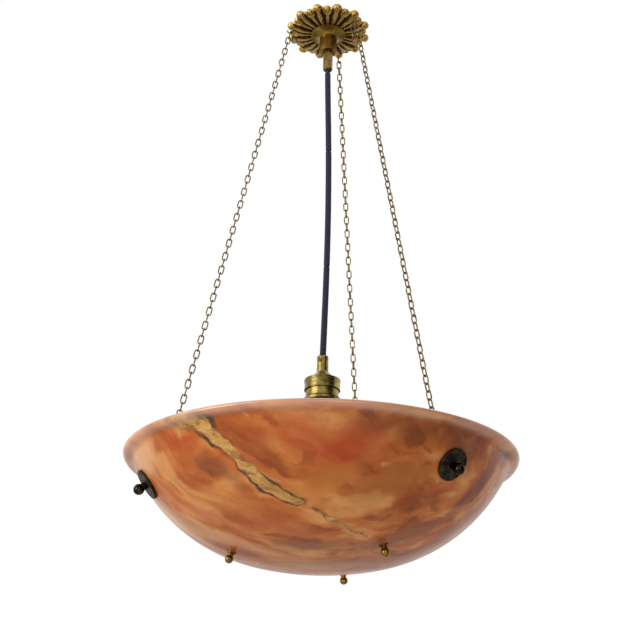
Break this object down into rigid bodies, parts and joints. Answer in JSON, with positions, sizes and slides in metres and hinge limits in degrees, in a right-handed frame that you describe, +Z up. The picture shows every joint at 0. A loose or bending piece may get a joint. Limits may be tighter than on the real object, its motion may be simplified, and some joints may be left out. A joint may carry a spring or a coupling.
{
  "type": "bowl pendant light",
  "caption": "Veined alabaster bowl pendant: brass chains from a leaf-shaped ceiling rose carry the stone bowl, and a braided flex holds the lamp inside it.",
  "frame": {"origin": "centre of the ceiling plane, midway between the strap's two screw holes", "axes": "+Z up into the ceiling, +X along the strap to the right, -Y to the front; the pendant hangs below the origin"},
  "size_m": [0.3999, 0.4, 0.6656],
  "materials": {
    "alabaster": "polished veined alabaster, amber and cream",
    "eye_bronze": "dark bronze patina",
    "fibre": "vulcanised fibre",
    "disc_bronze": "dark bronze patina, rubbed edge",
    "ball_bronze": "dark polished bronze",
    "stud_brass": "aged polished brass",
    "zinc_steel": "zinc plated",
    "chain_brass": "aged brass wire",
    "hook_brass": "aged brass wire",
    "cast_brass": "cast brass, dark recesses and rubbed gilt edges",
    "boss_brass": "spun brass with brown patina",
    "ferrule_brass": "turned brass, aged",
    "gland_rubber": "black rubber",
    "braid": "braided textile over three cores, navy black",
    "terminal_plastic": "moulded, ivory",
    "terminal_brass": "turned brass",
    "core_insulation": "extruded insulation",
    "holder_brass": "pressed brass, antique lacquer",
    "screw_brass": "turned brass",
    "ceramic": "white glaze",
    "spring_steel": "drawn wire",
    "lamp_aluminium": "pressed, satin",
    "vitrite": "black glass",
    "solder": "solder, satin",
    "lamp_glass": "blown glass, pearl"
  },
  "bodies": {
    "rose": {"ceiling_rose": "cast_brass", "mounting_strap": "zinc_steel", "threaded_nipple": "zinc_steel", "rose_lock_nut": "zinc_steel", "strap_nut": "zinc_steel", "centre_boss": "boss_brass", "cord_ferrule": "ferrule_brass", "ferrule_gland": "gland_rubber", "cord_in_rose": "braid", "terminal_block": "terminal_plastic", "terminal_screws": "terminal_brass", "rose_cores": "core_insulation", "hook_left": "hook_brass", "hook_right": "hook_brass", "hook_back": "hook_brass"},
    "top_link_left": {"top_link_left": "chain_brass", "spare_top_link_left": "chain_brass"},
    "chain_left": {"chain_left": "chain_brass", "spare_links_left": "chain_brass"},
    "bottom_link_left": {"bottom_link_left": "chain_brass"},
    "bowl": {"alabaster_bowl": "alabaster", "eye_bolt_left": "eye_bronze", "eye_bolt_right": "eye_bronze", "eye_bolt_back": "eye_bronze", "inner_washers": "fibre", "disc_washers": "disc_bronze", "ball_nuts": "ball_bronze", "stud_bolts": "stud_brass", "stud_inner_washers": "fibre", "stud_hex_nuts": "zinc_steel", "stud_collars": "stud_brass", "stud_ball_nuts": "stud_brass"},
    "top_link_right": {"top_link_right": "chain_brass", "spare_top_link_right": "chain_brass"},
    "chain_right": {"chain_right": "chain_brass", "spare_links_right": "chain_brass"},
    "top_link_back": {"top_link_back": "chain_brass"},
    "chain_back": {"chain_back": "chain_brass"},
    "cord": {"flex_cord": "braid"},
    "lampholder": {"cord_grip_collar": "holder_brass", "grip_screw": "screw_brass", "cord_in_holder": "braid", "holder_cores": "core_insulation", "holder_terminals": "terminal_brass", "lampholder_cap": "holder_brass", "holder_sleeve": "holder_brass", "shade_rings": "holder_brass", "ceramic_insert": "ceramic", "contact_springs": "spring_steel"},
    "contact_plungers": {"contact_plungers": "terminal_brass"},
    "lamp": {"bulb_cap": "lamp_aluminium", "bulb_base_insulator": "vitrite", "bulb_contacts": "solder", "bulb_glass": "lamp_glass"}
  },
  "joints": [
    {"name": "sway_x", "type": "hinge", "parent": "rose", "child": "top_link_left", "pos_m": [-0.04638, -0.01071, -0.0222], "axis": [1, 0, 0], "range_deg": [-5, 5]},
    {"name": "sway_y", "type": "hinge", "parent": "top_link_left", "child": "chain_left", "pos_m": [-0.0477, -0.01101, -0.02892], "axis": [0, 1, 0], "range_deg": [-5, 5]},
    {"name": "bowl_level_x", "type": "hinge", "parent": "chain_left", "child": "bottom_link_left", "pos_m": [-0.1547, -0.03571, -0.57181], "axis": [1, 0, 0], "range_deg": [-1.6, 1.6]},
    {"name": "bowl_level_y", "type": "hinge", "parent": "bottom_link_left", "child": "bowl", "pos_m": [-0.15635, -0.0361, -0.5802], "axis": [0, 1, 0], "range_deg": [-1.6, 1.6]},
    {"name": "right_sway_x", "type": "hinge", "parent": "rose", "child": "top_link_right", "pos_m": [0.03246, -0.03481, -0.0222], "axis": [1, 0, 0], "range_deg": [-5, 5]},
    {"name": "right_sway_y", "type": "hinge", "parent": "top_link_right", "child": "chain_right", "pos_m": [0.03339, -0.03581, -0.02894], "axis": [0, 1, 0], "range_deg": [-5, 5]},
    {"name": "back_sway_x", "type": "hinge", "parent": "rose", "child": "top_link_back", "pos_m": [0.01392, 0.04552, -0.0222], "axis": [1, 0, 0], "range_deg": [-5, 5]},
    {"name": "back_sway_y", "type": "hinge", "parent": "top_link_back", "child": "chain_back", "pos_m": [0.01431, 0.04682, -0.02894], "axis": [0, 1, 0], "range_deg": [-5, 5]},
    {"name": "cord_swing", "type": "hinge", "parent": "rose", "child": "cord", "pos_m": [0, 0, -0.0687], "axis": [0, 1, 0], "range_deg": [-4, 4]},
    {"name": "lampholder_tilt", "type": "hinge", "parent": "cord", "child": "lampholder", "pos_m": [0, 0, -0.43925], "axis": [1, 0, 0], "range_deg": [-4, 4]},
    {"name": "lamp_push", "type": "slide", "parent": "lampholder", "child": "lamp", "axis": [0, 0, 1], "range_m": [0, 0.002], "stiffness_N_per_m": 1500, "springref_m": -0.003},
    {"name": "plunger_push", "type": "slide", "parent": "lampholder", "child": "contact_plungers", "axis": [0, 0, 1], "range_m": [0, 0.002], "deforming": ["contact_springs"]}
  ],
  "couplings": [
    {"joint": "bowl_level_x", "follows": "sway_x", "ratio": -0.29981},
    {"joint": "bowl_level_y", "follows": "sway_y", "ratio": -0.30511},
    {"joint": "right_sway_x", "follows": "sway_x", "ratio": 1},
    {"joint": "right_sway_y", "follows": "sway_y", "ratio": 1},
    {"joint": "back_sway_x", "follows": "sway_x", "ratio": 1},
    {"joint": "back_sway_y", "follows": "sway_y", "ratio": 1},
    {"joint": "plunger_push", "follows": "lamp_push", "ratio": 1}
  ]
}
